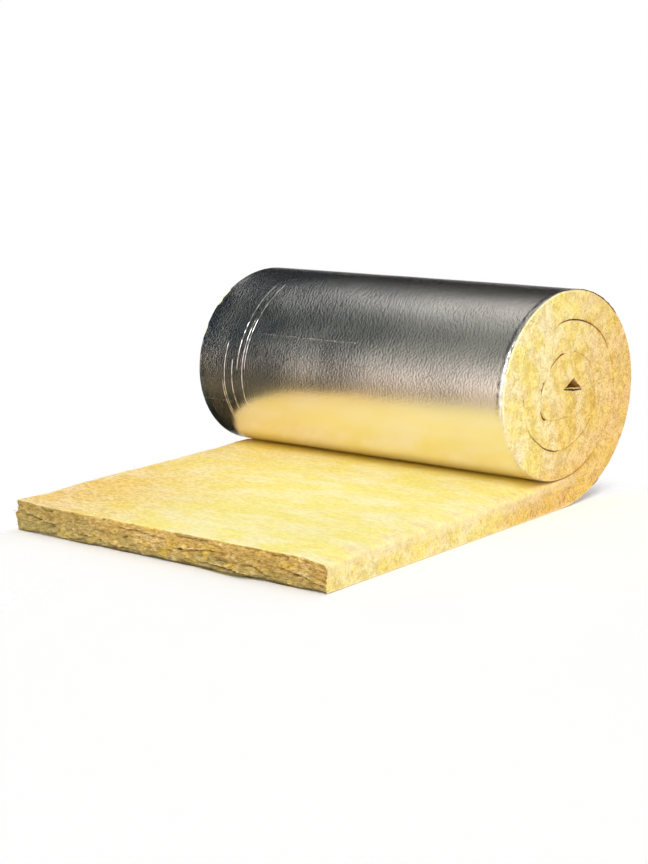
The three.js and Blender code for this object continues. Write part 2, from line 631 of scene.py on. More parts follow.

# %% [markdown]
# The bare top. Fibres were blown onto a moving belt, so they lie across the blanket: every noise
# here is drawn out that way. Far off, the top is coarser, and it is painted more orange and darker
# as shade, where the light falls off. Just in front of the roll a deep gold is painted on: painted
# bounce light, where light bounces between two yellow faces. Inside the roll the wool is painted
# browner as shade, because little light gets there.

# %% The bare top's colour
LEMON = screen(250, 236, 138)
CREAM = screen(253, 242, 182)
STRAW = screen(251, 230, 130)
APRICOT = screen(250, 210, 118)
PALE_APRICOT = screen(252, 220, 162)
NIP_BOUNCE_GOLD = screen(254, 226, 88)
INNER_SHADE_BROWN = screen(226, 182, 100)


def top_colour(flat, far):
    """Lemon and cream streaks across the blanket, with painted shade far off and inside the roll, and
    painted bounce light in front of it.
    """
    along = parts(flat)[1]
    clouds = noise(stretched(flat, (0.5, 1.0, 1.0)), 11.0, 3.0, 0.55)
    streaks = noise(stretched(flat, (0.35, 1.0, 1.0)), 38.0, 3.0, 0.6)
    fibres = noise(stretched(flat, (0.45, 1.0, 1.0)), 130.0, 3.0, 0.7)
    colour = mixed(ramp(clouds, 0.38, 0.64), LEMON, CREAM)
    colour = mixed(ramp(streaks, 0.48, 0.7, 0.0, 0.5), colour, STRAW)
    # Painted shade: far off the top is mixed toward apricot and, with the grain below, darkened where
    # the light falls off.
    colour = mixed(far, colour, mixed(ramp(noise(flat, 6.0), 0.48, 0.64), APRICOT, PALE_APRICOT))
    lines = ridges(stretched(flat, (0.3, 1.0, 1.0)), 24.0, 0.02) * (far * 0.2)
    grain = times_plus(far, 0.15, 0.07)
    colour = dimmed(colour, times_plus(ramp(fibres, 0.36, 0.66, -0.4, 1.0), grain, lines))
    # Painted bounce light: a deep gold just in front of the roll.
    colour = mixed(ramp(along, -0.2, -0.07, 0.0, 0.85), colour, NIP_BOUNCE_GOLD)
    # Painted shade: browner inside the roll, where little light gets.
    return mixed(ramp(along, 0.3, 0.6), colour, INNER_SHADE_BROWN)


print("lemon as the shader takes it:", [round(channel, 2) for channel in LEMON[:3]])

# %% [markdown]
# The sawn sides. One saw cut goes through every turn at once, so this pattern reads the real place
# and not the flat one: its strokes and specks run on from turn to turn. Every colour comes as a
# pair, a light one for the front of the roll and a darker, warmer copy for its back and low down,
# which is painted shade where less light reaches. Gold gathers where turns are pressed together and
# round the core, and a painted shadow darkens the slit over the crushed end.

# %% The sawn sides' colour
# Each pair: the lit colour, then its darker copy, painted as shade.
SAWN_YELLOW = (screen(255, 236, 138), screen(245, 206, 106))
SAWN_CREAM = (screen(255, 242, 186), screen(246, 208, 132))
SAWN_PEACH = (screen(255, 238, 200), screen(244, 200, 144))
SAWN_STROKE = (screen(251, 222, 156), screen(236, 188, 124))
SEAM_GOLD = screen(232, 184, 74)
# Painted shadow in the gap of the slit over the crushed end.
SLIT_SHADOW = screen(70, 46, 14)


def sawn_colour(place, along, shaded, slit_shadow, seam):
    """Short strokes of yellow, cream and peach, dark specks, gold seams, painted shade on the back and a
    painted slit shadow.
    """
    swirl = noise(place, 14.0)["Color"]
    drawn = vector_calc("MULTIPLY_ADD", swirl, (0.0, 0.07, 0.07), place)
    clouds = noise(place, 12.0, 3.0, 0.6)
    blotches = noise(place, 36.0, 3.0, 0.65)
    # Painted shade: each colour is mixed toward its darker copy on the back and low down.
    yellow, cream, peach, stroke = [mixed(shaded, *pair)
                                    for pair in (SAWN_YELLOW, SAWN_CREAM, SAWN_PEACH, SAWN_STROKE)]
    colour = mixed(ramp(clouds, 0.4, 0.6), yellow, cream)
    colour = mixed(ramp(noise(place, 8.0), 0.52, 0.68, 0.0, 0.6), colour, peach)
    colour = mixed(ramp(noise(drawn, 52.0, 3.0, 0.65), 0.46, 0.62, 0.0, 0.7), colour, stroke)
    core = ramp(along, 2.5, 3.3, 0.0, 0.8) * ramp(clouds, 0.56, 0.44)
    gold = highest(seam, core) * ramp(blotches, 0.38, 0.56, 0.1, 1.0)
    colour = mixed(gold * times_plus(shaded, 0.6, 0.1), colour, SEAM_GOLD)
    specks = ramp(noise(drawn, 155.0, 3.0, 0.75), 0.4, 0.68, -0.25, 1.0)
    drop = times_plus(specks, times_plus(shaded, 0.16, 0.16), ramp(blotches, 0.4, 0.66, -0.04, 0.14))
    drop = drop + ramp(noise(place, 210.0, 1.0), 0.66, 0.76, 0.0, 0.35)
    # Painted shadow: the slit is darkened.
    return mixed(slit_shadow, dimmed(colour, drop), SLIT_SHADOW)


cream_blue = [cream[2] for cream in SAWN_CREAM]
print("the warm cream has", round(cream_blue[1] / cream_blue[0], 2), "of the light one's blue")

# %% [markdown]
# The torn end. The inside of the blanket shows here: brown above, olive below, with gold flecks.
# These colours are darker than the top, partly the wool's own and partly painted shade. The flakes
# get a painted highlight on their edges and painted shade in the clefts under them, and the foot a
# painted shadow. The shape of the tear is made further on, by the fraying tree, which leaves two
# numbers on the mesh: pull, how far a place was drawn out, and one for the edges of the flakes,
# where a highlight is painted. Strand marks the loose wisps. The colour follows these numbers, so
# it fits the shape.

# %% The torn end's colour
# The torn end's colours, darker than the top's: partly the wool inside and partly painted shade.
TORN_OLIVE = screen(166, 146, 84)
TORN_BROWN = screen(200, 162, 86)
FLECK_GOLD = screen(220, 186, 70)
# Painted shade in the clefts under the flakes.
CLEFT_SHADE = screen(104, 86, 40)
FOOT_BROWN = screen(110, 96, 56)
# Pale fibres, and the painted highlight on the flakes' edges.
WISP_AND_HIGHLIGHT_CREAM = screen(234, 206, 146)
FAR_OLIVE = screen(146, 134, 74)
# Painted shadow along the foot of the torn end.
FOOT_SHADOW = screen(66, 54, 30)


def torn_colour(flat, pull, highlight_rim, strand):
    """Brown above, olive below, gold flecks, pale wisps, painted flake-edge highlights, painted cleft
    shade and foot shadow.
    """
    x, _, depth = parts(flat)
    level = depth / LOOSE_WOOL
    layered = stretched(flat, (0.45, 1.0, 1.0))
    golden = noise(stretched(flat, (0.6, 1.0, 1.0)), 31.0)
    crumbs = noise(layered, 120.0, 3.0, 0.75)
    height = times_plus(noise(layered, 20.0, 3.0, 0.55) - 0.5, 1.3, level)
    colour = mixed(ramp(height, 0.1, 0.85), TORN_OLIVE, TORN_BROWN)
    colour = mixed(ramp(golden, 0.56, 0.68, 0.0, 0.7), colour, FLECK_GOLD)
    # Painted shade: darker where the flakes were pulled in, in the clefts.
    colour = mixed(ramp(pull, -0.3, -1.2, 0.0, 0.75), colour, CLEFT_SHADE)
    colour = mixed(ramp(level, 0.2, 0.0, 0.0, 0.5), colour, FOOT_BROWN)
    wisps = ridges(stretched(flat, (0.35, 1.0, 1.0)), 36.0, 0.03) * ramp(crumbs, 0.4, 0.58, 0.1, 0.6)
    # Painted highlight on the flake edges, mixed with the pale fibres.
    colour = mixed(highest(highest(wisps, highlight_rim), strand), colour, WISP_AND_HIGHLIGHT_CREAM)
    colour = mixed(ramp(x, -0.1, -0.5, 0.0, 0.42), colour, FAR_OLIVE)
    drop = ramp(crumbs, 0.3, 0.7, -0.3, 0.4) + ramp(x, 0.1, 0.4, -0.02, 0.05)
    # Painted shadow along the foot of the torn end, stronger toward the near side.
    foot_shadow = ramp(level, 0.07, 0.02, 0.0, 0.7) * ramp(x, -0.45, 0.0, 0.4, 1.0)
    return mixed(foot_shadow, dimmed(colour, drop), FOOT_SHADOW)


print("a cleft is", round(CLEFT_SHADE[0] / TORN_BROWN[0], 2), "as bright as the wool round it")

# %% [markdown]
# Small things on the sawn sides: a painted shadow in the slit over the crushed end, gold along the
# pressed seams, a pale rind next to the foil high on the front, a painted highlight along the rounded
# edges and the tail's upper side, and painted light along the tail's foot, which lifts the shade there.
# Each is a mask that reads how far along the blanket and how deep in it a point lies.

# %% The sawn sides as a whole
SLIT_LEVEL = 0.93
RIND_PLACE = length_at(1.25 * math.pi)
# Painted highlight on the rounded edges and the upper part of the tail's sawn side.
HIGHLIGHT = screen(253, 234, 190)
RIND_CREAM = screen(255, 247, 200)
# Painted light along the tail's foot, over the shade where it meets the floor.
FOOT_LIGHT_CREAM = screen(255, 240, 196)


def side_colour(flat, place, cut, brushed):
    """The sawn colour with its painted slit shadow, seams and rind, a painted highlight and painted
    light at the foot.
    """
    _, along, depth = parts(flat)
    _, y, z = parts(place)
    level = depth / WOUND_WOOL
    crushed = ramp(along, PINCH_LENGTH + 3 * MM, PINCH_LENGTH + 12 * MM)
    # Painted shadow in the slit over the crushed end.
    slit_shadow = around(level, SLIT_LEVEL, 0.03, 0.045) * crushed
    inner_turns = ramp(along, OUTER_TURN - 20 * MM, OUTER_TURN + 20 * MM)
    outward_seam = ramp(level, 0.86, 0.99) * ramp(along, 0.0, PITCH)
    seam = highest(outward_seam, ramp(level, 0.08, 0.0) * inner_turns)
    low = ramp(z, 0.16, 0.08, 0.0, 0.35) * ramp(y, -0.2, 0.2)
    # Painted shade: how far the sawn colours go to their darker copies, most at the back and low down.
    shaded = ramp(times_plus(z, -0.5, y) + low, -0.05, 0.6, 0.12, 1.0)
    tail = ramp(along, 0.2, 0.0)
    upper = ramp(times_plus(brushed, 1.6, level), 1.3, 1.8)
    rind = ramp(level, 0.04, 0.0) * around(along, RIND_PLACE, 0.2, 0.36)
    rind = rind * ramp(noise(flat, 60.0), 0.4, 0.56, 0.2, 0.8)
    side = dimmed(sawn_colour(place, along, shaded, slit_shadow, seam), tail * 0.05)
    # Painted highlight along the rounded edges, and on the upper part of the tail's side.
    side = mixed(between(cut, 0.4, upper * (tail * 0.4)), side, HIGHLIGHT)
    side = mixed(rind, side, RIND_CREAM)
    # Painted light along the tail's foot, over its contact shade.
    return mixed(ramp(level, 0.06, 0.01, 0.0, 0.7) * tail, side, FOOT_LIGHT_CREAM)


print("the pale rind lies", round(RIND_PLACE, 2), "m along the wound blanket")

# %% Glass wool
BRUSHED_WIDTH = 60 * MM
FIBRE_BUMP = 3 * MM


def glass_wool():
    """The three faces' colours, parted by masks, on a matt and fibrous surface."""
    material, tree, shader = new_material("glass_wool")
    flat = painted(tree, "flat", "Vector")
    place = node(tree, "ShaderNodeTexCoord")["Object"]
    x, along, depth = parts(flat)
    real_x, real_y, _ = parts(place)
    # The far part of the tail, where top_colour paints shade for the light falling off.
    far = ramp(real_x, 0.1, -0.6) * ramp(real_y, 0.0, -0.5, 0.35, 0.95)
    brushed = noise(stretched(flat, (0.15, 1.0, 0.5)), 45.0, 3.0, 0.6)
    reached = times_plus(ramp(brushed, 0.42, 0.68), BRUSHED_WIDTH, abs(x))
    cut = ramp(abs(x), HALF_WIDTH - 3 * MM, HALF_WIDTH - 0.5 * MM)
    sawn = highest(cut, ramp(reached, HALF_WIDTH - 12 * MM, HALF_WIDTH + 8 * MM, 0.0, 0.8))
    sawn = highest(sawn, ramp(depth / WOUND_WOOL, 0.3, 0.1) * ramp(along, 0.0, 0.1))
    torn = ramp(along, 2 * MM - FLAT_TAIL, 0.3 * MM - FLAT_TAIL)
    colour = mixed(sawn, top_colour(flat, far), side_colour(flat, place, cut, brushed))
    # The pull darkens the clefts as painted shade, and the flakes' edges get a painted highlight.
    marks = [painted(tree, name) for name in ("pull", "highlight_rim", "strand")]
    feed(shader["Base Color"], mixed(torn, colour, torn_colour(flat, *marks)))
    shader["Roughness"].default_value = 0.95
    fibres = noise(stretched(flat, (0.5, 1.0, 1.0)), 200.0, 3.0, 0.7)
    feed(shader["Normal"], node(tree, "ShaderNodeBump", {
        "Height": fibres, "Strength": times_plus(torn, 0.1, 0.6), "Distance": FIBRE_BUMP}))
    print("the glass wool finish has", len(tree.nodes), "nodes")
    return material


WOOL_FINISH = glass_wool()

# %% [markdown]
# ## The glass wool
#
# The blanket itself is one batt of soft wool. Its sawn sides are straight and a little rounded, the
# bare top is soft and uneven, and the front end was torn off by hand, so it is ragged in layers. A
# cloth simulation could let it slump, but it would lose the even turns. So its shape comes in two
# steps: here the flat slab gets its rounded edges, its drooping sides and the gaps between turns,
# and a tree then roughens it.

# %% Where the turns part at the sawn ends
SEAM_CLOSED = 3.2 * MM
SEAM_SHALLOW = 8 * MM
SEAM_DEEP = 32 * MM
SEAM_GAPS = [(-0.05, 0.1, 1.0 * MM), (0.33, 0.55, 3.0 * MM), (0.735, 0.77, 9.0 * MM),
             (0.81, 0.99, 2.5 * MM), (1.52, 1.65, 6.0 * MM), (1.685, 1.77, 13.0 * MM),
             (1.80, 1.89, 9.0 * MM)]
GAP_TAPER = 0.025
FAR_END_SHIFT = 0.31


def seam_opening(along, side):
    """How far the bare side stands back from the next turn at a sawn end. Below 0 it touches it.
    Each gap runs from one turn to another, and the far end has the same gaps further on."""
    turn = turns_at(along) + (0 if side > 0 else FAR_END_SHIFT)
    closed = SEAM_CLOSED + 0.6 * MM * (math.sin(61 * along) + math.sin(151 * along))
    widest = -closed
    for start, stop, gap in SEAM_GAPS:
        inside = smooth(min(turn - start, stop - turn) / GAP_TAPER)
        uneven = 0.8 + 0.2 * math.sin(330 * along) + 0.15 * math.sin(173 * along)
        widest = max(widest, (gap * uneven + closed) * inside - closed)
    return widest


example = seam_opening(length_at(0.9 * FULL_TURN), 1)
print("0.9 turns in, the seam stands open by", round(example / MM, 1), "mm")

# %% Where the foil's edge leaves the wool
EDGE_BEND_TURN = 0.71
EDGE_BEND = 13 * MM
BEND_ALL_ROUND = 0.5 * MM
BEND_HALFWAY_UP = 3.8 * MM
ZONE_TURNS = 0.1
FOIL_PROUD = [(0.36, 0.52), (0.065, 0.1)]


def near_turn(along, turn):
    """1 at that turn, falling to 0 on both sides of it."""
    return smooth(1 - abs(turns_at(along) - turn) / ZONE_TURNS)


def edge_drop(x, along):
    """How far the foil side bends inward at the near sawn end, most of all halfway up the front."""
    if along < 0 or x < 0:
        return 0.0
    bend = BEND_ALL_ROUND + BEND_HALFWAY_UP * near_turn(along, EDGE_BEND_TURN)
    return bend * smooth(1 - (HALF_WIDTH - x) / EDGE_BEND) ** 1.5


def stands_proud(x, along):
    """1 where the foil reaches past the wool at the near sawn end, 0 elsewhere."""
    if along < 0 or x < 0:
        return 0.0
    turn = turns_at(along)
    return max(smooth(min(turn - start, stop - turn) / 0.02) for start, stop in FOIL_PROUD)


most_bent = edge_drop(HALF_WIDTH, length_at(EDGE_BEND_TURN * FULL_TURN))
print("the near edge bends in by up to", round(most_bent / MM, 1), "mm")

# %% The wool's rounded edges
TOP_ROUND = 16 * MM
FAR_TOP_ROUND = 5 * MM
FRONT_TOP_ROUND = 8 * MM
FOIL_SIDE_ROUND = 1.5 * MM
TEAR_ROUND = 5 * MM
DROOP_WIDTH = 150 * MM
NEAR_DROOP = 11 * MM
FAR_DROOP = 5 * MM
FAR_DROOP_PLACE = 0.12
FRONT_DROOP = 6 * MM
NIP_SWELL = 6 * MM
NIP_WIDTH = 0.72
NIP_START = 0.2
NIP_FADE = 0.12
BACKING_GAP = 3 * MM
BACKING_EDGE = 30 * MM


def rounding(distance, radius):
    """How far a surface falls away at a distance from a rounded edge."""
    if distance >= radius:
        return 0.0
    return radius - math.sqrt(radius * radius - (radius - distance) ** 2)


def side_fall(x, along, edge, behind_front):
    """How far the bare side falls toward the sawn ends: into the seams, or round the tail's edge."""
    if along > 0:
        opening = seam_opening(along, x)
        fall = opening * smooth(1 - edge / (SEAM_DEEP if opening > 0 else SEAM_SHALLOW))
    else:
        near = min(TOP_ROUND, 0.1 * behind_front + FRONT_TOP_ROUND)
        laid = smooth(-along / (PITCH if x > 0 else 3 * PITCH))
        fall = rounding(edge, near if x > 0 else FAR_TOP_ROUND) * laid
        droop = NEAR_DROOP
        if x <= 0:
            droop = FAR_DROOP * smooth(1 - abs(behind_front - FAR_DROOP_PLACE) / FAR_DROOP_PLACE)
        fall += laid * droop * smooth(1 - edge / DROOP_WIDTH) ** 2
    return fall


def wool_shape(x, along, level, loft):
    """A wool point with its edges rounded, its sides drooping and its foil side pulled back inside."""
    edge = HALF_WIDTH - abs(x)
    behind_front = along + FLAT_TAIL
    top = side_fall(x, along, edge, behind_front)
    before_roll = max(0.0, -along)
    swell = min(NIP_SWELL, max(0.0, before_roll ** 2 / NIP_WIDTH - 1 * MM))
    top -= swell * smooth((NIP_START - before_roll) / NIP_FADE)
    corner = 1.0 if x > 0 else smooth(0.2 + edge / DROOP_WIDTH)
    top += rounding(behind_front, TEAR_ROUND * corner)
    top += FRONT_DROOP * corner * smooth(1 - behind_front / DROOP_WIDTH)
    bottom = rounding(edge, FOIL_SIDE_ROUND) + BACKING_GAP * smooth(edge / BACKING_EDGE)
    bottom += edge_drop(x, along) + 4 * MM * stands_proud(x, along) * smooth(1 - edge / (6 * MM))
    return (x, along, level + (bottom * (1 - level) - top * level) / loft)


near_edge = wool_shape(HALF_WIDTH, -0.5, 1, LOOSE_WOOL)
print("the tail's near top edge lies at level", round(near_edge[2], 3))

# %% Flat wool
EDGE_STEPS = [0, 1.5 * MM, 4 * MM, 9 * MM, 20 * MM]
TOP_STEP = 8 * MM
TURN_STEP = 8.5 * MM
TORN_STEP = 2.8 * MM
FINE_UNTIL = 0.02
SIDE_LEVELS = [0, 0.02, 0.05, 0.1] + steps(0.17, 0.83, 0.07) + [0.9, 0.95, 0.98, 1]
TORN_LEVELS = [0, 0.015] + steps(0.04, 0.96, 0.03) + [0.985, 1]

edge_columns = [HALF_WIDTH - step for step in EDGE_STEPS]
coarse = mirrored(edge_columns + [0.5, 0.4, 0.25, 0.1])
fine = mirrored(edge_columns + steps(0, HALF_WIDTH - 28 * MM, TOP_STEP))
torn_columns = mirrored(edge_columns[:3] + steps(0, HALF_WIDTH - 7 * MM, TORN_STEP))
wool_rows = [-FLAT_TAIL + step for step in EDGE_STEPS[:-1]]
wool_rows += steps(-FLAT_TAIL + 15 * MM, 0, TOP_STEP) + steps(0, WOUND_LENGTH, TURN_STEP)[1:]
inside = len(wool_rows) - 1
wool = flat_slab("glass_wool_blanket", wool_rows,
                 [torn_columns] + [fine if along <= FINE_UNTIL else coarse for along in wool_rows[1:]],
                 [coarse] * len(wool_rows), [TORN_LEVELS] + [SIDE_LEVELS] * inside,
                 wool_thickness, wool_shape)

# %% [markdown]
# Now the torn end. Hands tear glass wool in flakes: thin layers that part, stand out and leave
# clefts under them. Sculpting could make them, but a script needs a rule. Two patterns are mixed.
# Cells of a Voronoi texture, stretched along the layers, tip out and in at random. Over them lie
# seven big flakes, each from one place and height to another. All is masked to the face that it
# belongs to, and fades out inside the roll, where the turns touch.

# %% The big flakes
TORN_FLAKES = [(-0.58, -0.42, 0.66, 0.50), (-0.35, -0.12, 0.32, 0.15), (-0.17, 0.02, 0.87, 0.80),
               (0.03, 0.20, 0.50, 0.66), (0.14, 0.36, 0.24, 0.10), (0.32, 0.41, 0.50, 0.22),
               (0.43, 0.60, 0.62, 0.30)]


def centred(place, scale, detail=2.0, roughness=0.5):
    """A noise around 0."""
    return noise(place, scale, detail, roughness) - 0.5


def flake_masks(x, level):
    """The big flakes of the torn end: how far they stand out, how deep it is under them, and their
    thin lower edge, where a highlight is painted. Each runs from start to stop across the blanket,
    from one level to another."""
    wiggle = centred(vector(x, 5.0, 0.0), 22.0, 3.0)
    lips, clefts, edges = 0.0, 0.0, 0.0
    for start, stop, first, last in TORN_FLAKES:
        under = times_plus(wiggle, 0.16, ramp(x, start, stop, first, last)) - level
        here = ramp(x, start - 0.01, start + 0.03) * ramp(x, stop + 0.01, stop - 0.03)
        lip = ramp(under, -0.16, 0.0) * ramp(under, 0.0, 0.025, 1.0, 0.0)
        cleft = ramp(under, 0.0, 0.025) * ramp(under, 0.025, 0.2, 1.0, 0.0)
        edge = ramp(abs(under + 0.012), 0.005, 0.028, 1.0, 0.0)
        lips = times_plus(lip, here, lips)
        clefts = times_plus(cleft, here, clefts)
        edges = times_plus(edge, here, edges)
    return lips, clefts, edges


print(len(TORN_FLAKES), "big flakes on a front of", round(2 * HALF_WIDTH, 2), "m")

# %% The small flakes
FLAKE_STRETCH = 0.38


def small_flakes(size, x, flat, level):
    """How far each small flake is pulled out, and a painted highlight on the borders between them."""
    spread = noise(flat, 16.0, 3.0, 0.6)["Color"]
    bent = vector_calc("MULTIPLY_ADD", spread, (0.05, 0.0, 0.04), flat)
    wide = stretched(bent, (FLAKE_STRETCH, 0.0, 1.0))
    cells = {"Vector": wide, "Scale": size["Flakes"], "Randomness": 1.0}
    flakes = node(size.tree, "ShaderNodeTexVoronoi", cells)
    borders = node(size.tree, "ShaderNodeTexVoronoi", cells, feature="DISTANCE_TO_EDGE")["Distance"]
    above = parts(wide)[2] - parts(flakes["Position"])[2]
    tipped = above * (size["Flakes"] * 0.5)
    chosen = parts(flakes["Color"])[0] - 0.5
    broad = centred(vector(x, 0.0, level), 5.0)
    crumbs = centred(flat, 60.0, 4.0, 0.75)
    pulled = times_plus(chosen, 1.3, times_plus(broad, 2.0, times_plus(crumbs, 1.5, tipped)))
    # Painted highlight on the borders between the small flakes.
    highlight_rims = ramp(borders, 0.0, 0.14, 1.0, 0.0) * ramp(noise(flat, 14.0), 0.46, 0.6, 0.05, 0.55)
    return pulled, highlight_rims


def foot_lip(x, level):
    """The ragged lip along the foot of the torn end, with one longer tongue."""
    tongue = around(x, 0.28, 0.02, 0.1)
    lip = times_plus(tongue, 0.8, centred(vector(x, 7.0, 0.0), 12.0, 3.0, 0.6))
    return lip * ramp(level, 0.3, 0.0)


print("a small flake is about", round(1 / FLAKE_STRETCH, 1), "times as wide as it is high")

# %% The fraying tree
FRAY_SIZES = ("Front", "Half Width", "Lumps", "Fluff", "Sawn", "Torn", "Flakes", "Lip")
FRAYED_DEPTH = 0.06
ON_SIDE = 0.003


def raised_top(size, length, level, flat):
    """How far the bare top is lifted by broad lumps and fine fluff, on the tail alone."""
    on_top = ramp(level, 0.6, 0.95) * ramp(length, -0.16, 0.0, 1.0, 0.0)
    lumps = centred(flat, 7.0) * size["Lumps"]
    fluff = centred(stretched(flat, (0.35, 1.0, 1.0)), 45.0, 4.0) * size["Fluff"]
    return (lumps + fluff) * on_top


def build_fraying():
    """Roughens the top, tears the front and leaves the pull and the flakes' painted edge highlights for
    the finish.
    """
    tree, size = new_tree("fray_the_wool", FRAY_SIZES)
    x, length, slab_level = parts(node(tree, "GeometryNodeInputPosition"))
    flat, loft = stored(tree, "flat", "FLOAT_VECTOR"), stored(tree, "loft")
    new_level = slab_level + raised_top(size, length, slab_level, flat) / loft

    level = parts(stretched(flat, (1.0, 1.0, 1 / LOOSE_WOOL)))[2]
    pulled, highlight_rims = small_flakes(size, x, flat, level)
    lips, clefts, edges = flake_masks(x, level)
    pulled = times_plus(lips, 0.8, times_plus(clefts, -0.9, pulled))
    # The big flakes' edges join the painted highlight.
    highlight_rims = highest(highlight_rims, edges * 0.9)
    inner = ramp(level, 0.0, 0.1, 0.4, 1.0) * ramp(level, 0.88, 1.0, 1.0, 0.2)
    torn = times_plus(foot_lip(x, level), size["Lip"], pulled * inner * size["Torn"])
    new_length = length - torn * ramp(length - size["Front"], 0.0, FRAYED_DEPTH, 1.0, 0.0)

    sawn = centred(flat, 60.0, 4.0) * size["Sawn"] * calc("SIGN", x)
    new_x = times_plus(sawn, ramp(size["Half Width"] - abs(x), 0.0, ON_SIDE, 1.0, 0.0), x)
    kept = size["Geometry"]
    for name, value in (("pull", pulled), ("highlight_rim", highlight_rims)):
        kept = node(tree, "GeometryNodeStoreNamedAttribute", {
            "Geometry": kept, "Name": name, "Value": value})
    end_tree(size, moved(kept, new_x, new_length, new_level))
    return tree


add_tree(wool, build_fraying(), {
    "Front": -FLAT_TAIL, "Half Width": HALF_WIDTH, "Lumps": 7 * MM, "Fluff": 4 * MM, "Sawn": 5 * MM,
    "Torn": 7 * MM, "Flakes": 42.0, "Lip": 22 * MM, "Finish": WOOL_FINISH})
wind(wool, WOOL_FACE, PINCH_ANGLE, WOOL_FINISH)

# %% [markdown]
# Torn wool is never clean: wisps of fibres lie over it. A hair system could grow them, but hair
# isn't exported, and plain tubes are. They are scattered after the winding. Points are strewn over
# the surface where a density says so, and on each of them lies one thin bent tube, turned and
# sized at random. They belong to the blanket, so they join its mesh.

# %% One wisp and where wisps lie
WISP_SIZES = ("Front", "Half Width", "Torn Density", "Edge Density", "Length", "Thickness")
SEED_PLACE, SEED_TURN, SEED_SIZE, SEED_SHADE = 7, 3, 5, 9


def wisp_tube(size):
    """A thin tube along a shallow bow."""
    half = size["Length"] * 0.5
    bow = node(size.tree, "GeometryNodeCurveQuadraticBezier", {
        "Resolution": 4, "Start": vector(half * -1.0, 0.0, -1 * MM),
        "Middle": vector(0.0, half * 0.5, 2.5 * MM), "End": vector(half, 0.0, 0.0)})
    ring = node(size.tree, "GeometryNodeCurvePrimitiveCircle", {
        "Resolution": 3, "Radius": size["Thickness"]})
    return node(size.tree, "GeometryNodeCurveToMesh", {
        "Curve": bow, "Profile Curve": ring, "Fill Caps": True})


def wisp_density(size):
    """Most wisps lie on the torn front, and some along the tail's upper edges."""
    x, along, depth = parts(stored(size.tree, "flat", "FLOAT_VECTOR"))
    on_front = ramp(along - size["Front"], 0.5 * MM, 2 * MM, 1.0, 0.0)
    on_front = on_front * calc("GREATER_THAN", depth, 14 * MM)
    on_edge = ramp(size["Half Width"] - abs(x), 4 * MM, 30 * MM, 1.0, 0.0)
    on_edge = on_edge * calc("LESS_THAN", along, -0.02) * calc("GREATER_THAN", depth, 60 * MM)
    return times_plus(on_front, size["Torn Density"], on_edge * size["Edge Density"])


def random_number(tree, low, high, seed):
    return node(tree, "FunctionNodeRandomValue", {2: low, 3: high, "Seed": seed}, data_type="FLOAT")[1]


print("seeds of the wisps:", SEED_PLACE, SEED_TURN, SEED_SIZE, SEED_SHADE)


# %% Loose wisps
def build_wisps():
    """Strews wisps over the blanket and joins them to it."""
    tree, size = new_tree("loose_wisps", WISP_SIZES)
    strewn = node(tree, "GeometryNodeDistributePointsOnFaces", {
        "Mesh": size["Geometry"], "Density": wisp_density(size), "Seed": SEED_PLACE},
        distribute_method="RANDOM")
    level = node(tree, "FunctionNodeAlignRotationToVector", {
        "Rotation": strewn["Rotation"], "Vector": (1.0, 0.0, 0.0)}, axis="X", pivot_axis="Z")
    spin = node(tree, "FunctionNodeRandomValue", {
        0: (-0.1, -0.1, -0.6), 1: (0.1, 0.1, 0.6), "Seed": SEED_TURN}, data_type="FLOAT_VECTOR")
    turned = made_from("FunctionNodeRotateRotation", (level, spin), rotation_space="LOCAL")
    placed = node(tree, "GeometryNodeInstanceOnPoints", {
        "Points": strewn["Points"], "Instance": wisp_tube(size), "Rotation": turned,
        "Scale": random_number(tree, 0.35, 1.0, SEED_SIZE)})
    marked = node(tree, "GeometryNodeStoreNamedAttribute", {
        "Geometry": placed, "Name": "strand", "Value": random_number(tree, 0.2, 0.9, SEED_SHADE)},
        domain="INSTANCE")
    both = node(tree, "GeometryNodeJoinGeometry", {0: marked})
    feed(both.socket.node.inputs[0], size["Geometry"])
    end_tree(size, both)
    return tree


add_tree(wool, build_wisps(), {
    "Front": -FLAT_TAIL, "Half Width": HALF_WIDTH, "Torn Density": 5500.0, "Edge Density": 1800.0,
    "Length": 30 * MM, "Thickness": 0.6 * MM, "Finish": WOOL_FINISH})
settle_mesh(wool)

# %% [markdown]
# ## Finish: aluminium foil
#
# The foil is bare metal that was rolled in one direction, so it is a mirror that blurs more one way
# than the other, which Anisotropic does. A grey paint would never look like it: nearly all that is
# seen on foil is its room. Two things break the mirror up. Fine crinkles lie all over it. They
# slant high on the roll, are calmer in its left half, and are rougher at both ends. Under it, the
# reinforcing threads of the laminate show as a faint grid. Both are bump, because they are less
# than a millimetre high.

# %% The foil's crinkles
SLANTED_PLACE = length_at(1.18 * math.pi)
LOW_PLACE = length_at(1.6 * math.pi)
CRINKLE_SCALE = 130.0
THREAD_STEP = 10 * MM
THREAD_HEIGHT = 0.03


